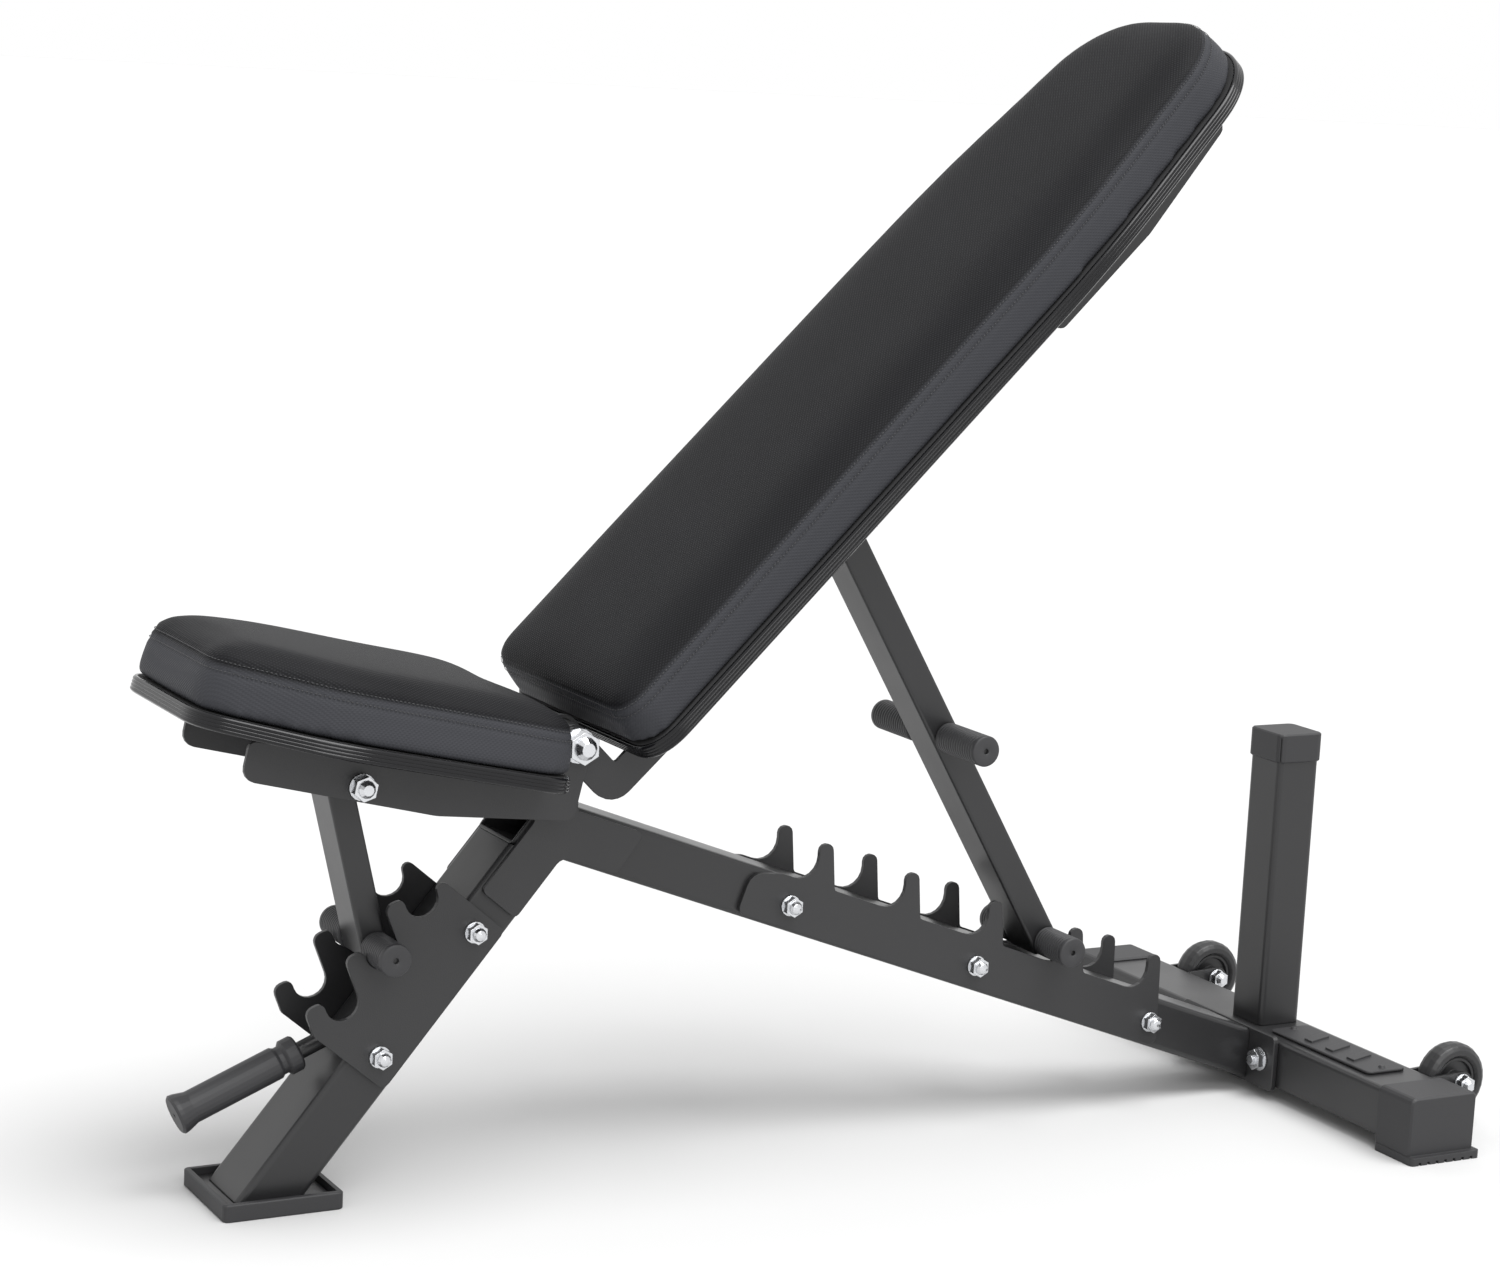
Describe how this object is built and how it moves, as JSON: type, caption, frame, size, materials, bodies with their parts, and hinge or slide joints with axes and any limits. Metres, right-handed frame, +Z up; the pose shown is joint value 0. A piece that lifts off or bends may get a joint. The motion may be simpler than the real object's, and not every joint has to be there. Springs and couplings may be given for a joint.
{
  "type": "adjustable weight bench",
  "caption": "Adjustable weight bench: a tapered back pad and a seat hinge on a steel frame, each propped by a strut whose rollers rest in toothed ladder plates; wheels and a lifting handle.",
  "frame": {"origin": "On the floor under the middle of the bench's length and width.", "axes": "X runs lengthwise, from the seat's front at -X to the rear crossbar at +X; Y runs across the bench, the symmetry axis; Z is up."},
  "size_m": [1.325, 0.5972, 1.0833],
  "materials": {
    "frame_steel": "semi-gloss black powder coat",
    "zinc": "bright zinc plating",
    "rubber": "matt moulded rubber",
    "grip": "matt moulded rubber",
    "vinyl": "fine textured vinyl",
    "trim": "gloss ridged plastic",
    "board": "board wrapped in black cloth",
    "tyre": "smooth moulded wheel"
  },
  "bodies": {
    "base_frame": {"crossbar": "frame_steel", "end_cap_left": "rubber", "end_cap_right": "rubber", "foot_boot": "rubber", "foot_plate": "frame_steel", "front_ladder_bolt_1": "zinc", "front_ladder_bolt_2": "zinc", "front_ladder_left": "frame_steel", "front_ladder_right": "frame_steel", "front_leg": "frame_steel", "gusset_left": "frame_steel", "gusset_right": "frame_steel", "handle_bar": "frame_steel", "handle_grip": "grip", "hinge_bolt": "zinc", "hinge_sleeve": "frame_steel", "main_beam": "frame_steel", "name_plate": "rubber", "post": "frame_steel", "post_cap": "rubber", "rear_ladder_bolt_1": "zinc", "rear_ladder_bolt_2": "zinc", "rear_ladder_bolt_3": "zinc", "rear_ladder_left": "frame_steel", "rear_ladder_right": "frame_steel", "rear_plate": "frame_steel", "rear_plate_bolt_left": "zinc", "rear_plate_bolt_right": "zinc", "wheel_axle_left": "zinc", "wheel_axle_right": "zinc", "wheel_bracket_left": "frame_steel", "wheel_bracket_right": "frame_steel"},
    "back_rest": {"back_board": "board", "back_cross_plate_lower": "frame_steel", "back_cross_plate_upper": "frame_steel", "back_cushion": "vinyl", "back_side_plate_left": "frame_steel", "back_side_plate_right": "frame_steel", "back_strut_bolt": "zinc", "back_trim": "trim"},
    "back_strut": {"back_roller_left": "grip", "back_roller_right": "grip", "back_strut": "frame_steel", "lifting_grip_left": "grip", "lifting_grip_right": "grip"},
    "seat": {"seat_board": "board", "seat_cross_plate": "frame_steel", "seat_cushion": "vinyl", "seat_side_plate_left": "frame_steel", "seat_side_plate_right": "frame_steel", "seat_strut_bolt": "zinc", "seat_trim": "trim"},
    "seat_strut": {"seat_roller_left": "grip", "seat_roller_right": "grip", "seat_strut": "frame_steel"},
    "wheel_left": {"wheel_hub_left": "tyre", "wheel_tyre_left": "tyre"},
    "wheel_right": {"wheel_hub_right": "tyre", "wheel_tyre_right": "tyre"}
  },
  "joints": [
    {"name": "back_pivot", "type": "hinge", "parent": "base_frame", "child": "back_rest", "pos_m": [-0.30055, 0, 0.4135], "axis": [0, -1, 0], "range_deg": [0, 40]},
    {"name": "back_strut_pivot", "type": "hinge", "parent": "back_rest", "child": "back_strut", "pos_m": [-0.01629, 0, 0.6129], "axis": [0, -1, 0], "range_deg": [-40, 0]},
    {"name": "seat_pivot", "type": "hinge", "parent": "base_frame", "child": "seat", "pos_m": [-0.30055, 0, 0.4135], "axis": [0, 1, 0], "range_deg": [0, 7.5]},
    {"name": "seat_strut_pivot", "type": "hinge", "parent": "seat", "child": "seat_strut", "pos_m": [-0.50508, 0, 0.38776], "axis": [0, 1, 0], "range_deg": [-3.75, 0]},
    {"name": "wheel_left_spin", "type": "hinge", "parent": "base_frame", "child": "wheel_left", "pos_m": [0.62496, -0.206, 0.05], "axis": [0, 1, 0], "continuous": true},
    {"name": "wheel_right_spin", "type": "hinge", "parent": "base_frame", "child": "wheel_right", "pos_m": [0.62496, 0.206, 0.05], "axis": [0, 1, 0], "continuous": true}
  ],
  "couplings": [
    {"joint": "back_strut_pivot", "follows": "back_pivot", "ratio": -1},
    {"joint": "seat_strut_pivot", "follows": "seat_pivot", "ratio": -0.5}
  ]
}
